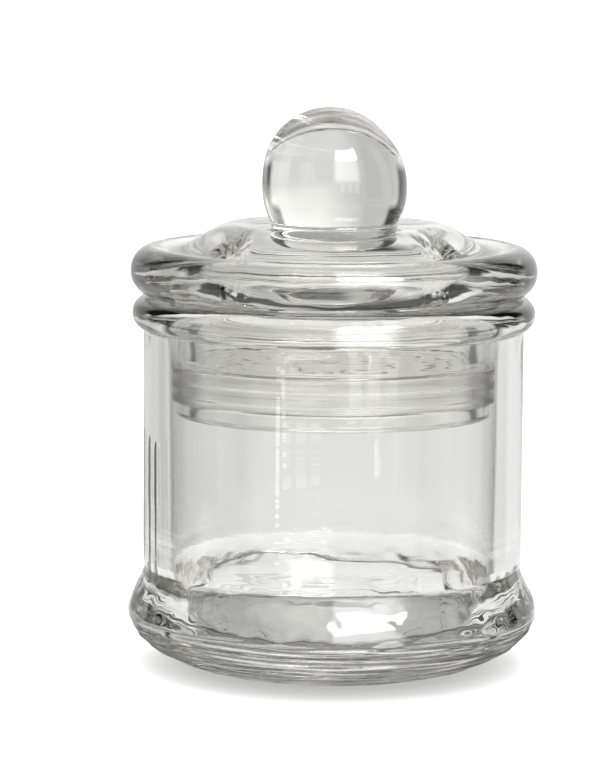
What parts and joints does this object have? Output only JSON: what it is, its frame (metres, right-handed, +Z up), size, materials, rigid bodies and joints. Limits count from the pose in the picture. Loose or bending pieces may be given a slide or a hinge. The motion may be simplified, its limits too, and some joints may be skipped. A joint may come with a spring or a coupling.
{
  "type": "lidded glass storage jar",
  "caption": "Round clear-glass storage jar with a rim bead and a flared heavy foot, and a lift-off domed glass lid with a ball knob, a hollow plug and a flexible seal ring.",
  "frame": {"origin": "middle of the surface that the jar stands on, on the jar's axis", "axes": "+Z up along the jar's axis of symmetry, towards the knob; X and Y are equivalent"},
  "size_m": [0.0868, 0.0868, 0.118],
  "materials": {
    "body_glass": "clear moulded soda-lime glass, slightly wavy, faint grey-green tint",
    "lid_glass": "clear pressed glass, slightly wavy",
    "knob_glass": "clear solid glass, fire polished",
    "seal_plastic": "translucent, matt, flexible"
  },
  "bodies": {
    "jar": {"jar_body": "body_glass"},
    "seal": {"seal_ring": "seal_plastic"},
    "lid": {"lid": "lid_glass", "knob": "knob_glass"}
  },
  "joints": [
    {"name": "lid_lift", "type": "slide", "parent": "jar", "child": "seal", "axis": [0, 0, 1], "range_m": [0, 0.05]},
    {"name": "lid_turn", "type": "hinge", "parent": "seal", "child": "lid", "pos_m": [0, 0, 0.0785], "axis": [0, 0, 1], "continuous": true}
  ]
}
